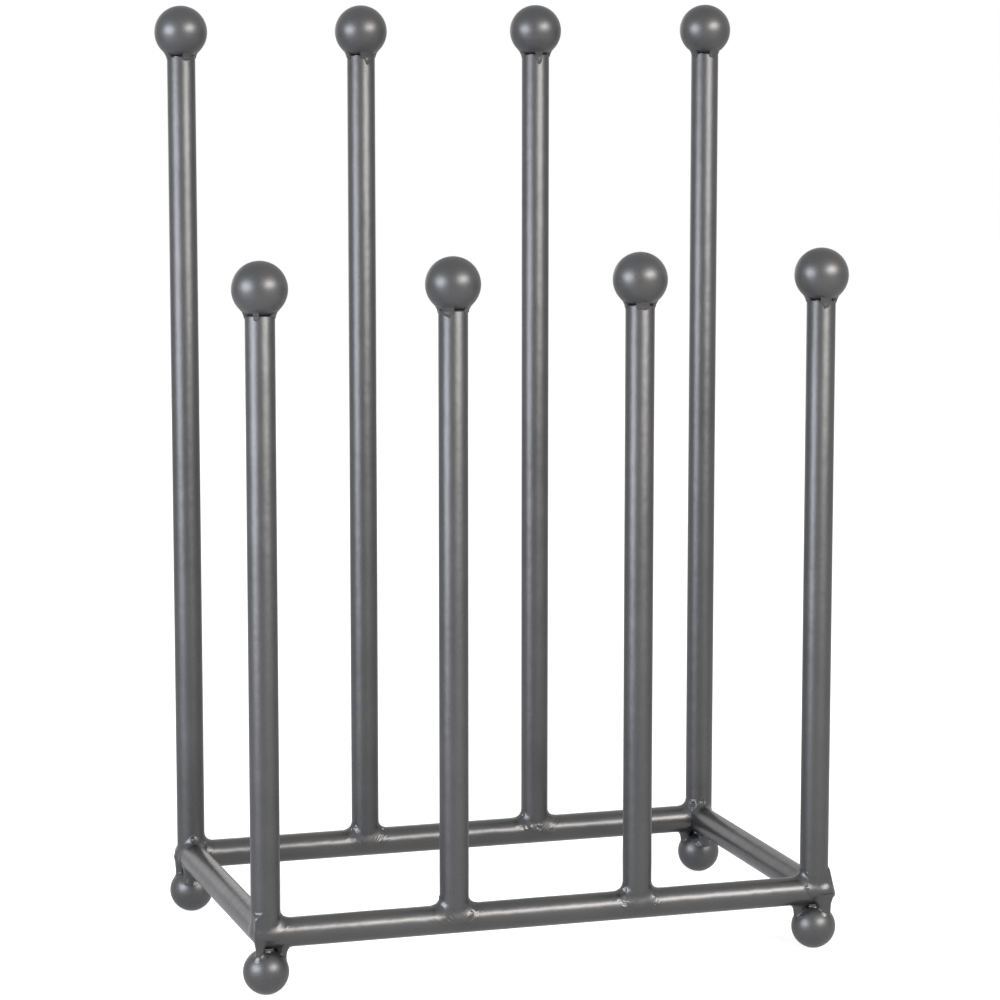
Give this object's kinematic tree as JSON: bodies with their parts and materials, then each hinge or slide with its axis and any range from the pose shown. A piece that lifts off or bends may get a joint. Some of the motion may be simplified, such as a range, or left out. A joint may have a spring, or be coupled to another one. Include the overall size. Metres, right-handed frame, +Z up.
{
  "type": "boot rack",
  "caption": "Free-standing boot rack: a tall row and a short row of upright steel posts with ball finials, welded to a mitred round-tube base frame on ball feet.",
  "frame": {"origin": "on the floor under the middle of the base frame", "axes": "+X runs to the right along the rows of posts, the short front row is on the -Y side and the tall back row on the +Y side, +Z is up along the posts"},
  "size_m": [0.3476, 0.2146, 0.5275],
  "materials": {
    "tube": "satin dark pewter grey metallic paint with a fine mottle",
    "ball": "satin dark pewter grey metallic paint, a little smoother than on the tubes",
    "weld": "satin dark pewter grey metallic paint over rippled and ground weld metal"
  },
  "bodies": {
    "root": {"front_rail": "tube", "back_rail": "tube", "left_end_rail": "tube", "right_end_rail": "tube", "front_left_mitre_weld": "weld", "front_right_mitre_weld": "weld", "back_left_mitre_weld": "weld", "back_right_mitre_weld": "weld", "front_post_1": "tube", "front_post_2": "tube", "front_post_3": "tube", "front_post_4": "tube", "back_post_1": "tube", "back_post_2": "tube", "back_post_3": "tube", "back_post_4": "tube", "front_post_weld_1": "weld", "front_post_weld_2": "weld", "front_post_weld_3": "weld", "front_post_weld_4": "weld", "back_post_weld_1": "weld", "back_post_weld_2": "weld", "back_post_weld_3": "weld", "back_post_weld_4": "weld", "front_finial_weld_1": "weld", "front_finial_weld_2": "weld", "front_finial_weld_3": "weld", "front_finial_weld_4": "weld", "back_finial_weld_1": "weld", "back_finial_weld_2": "weld", "back_finial_weld_3": "weld", "back_finial_weld_4": "weld", "front_finial_1": "ball", "front_finial_2": "ball", "front_finial_3": "ball", "front_finial_4": "ball", "back_finial_1": "ball", "back_finial_2": "ball", "back_finial_3": "ball", "back_finial_4": "ball", "front_left_foot": "ball", "front_right_foot": "ball", "back_left_foot": "ball", "back_right_foot": "ball", "front_left_foot_tack_1": "weld", "front_left_foot_tack_2": "weld", "front_right_foot_tack_1": "weld", "front_right_foot_tack_2": "weld", "back_left_foot_tack_1": "weld", "back_left_foot_tack_2": "weld", "back_right_foot_tack_1": "weld", "back_right_foot_tack_2": "weld"}
  },
  "joints": []
}
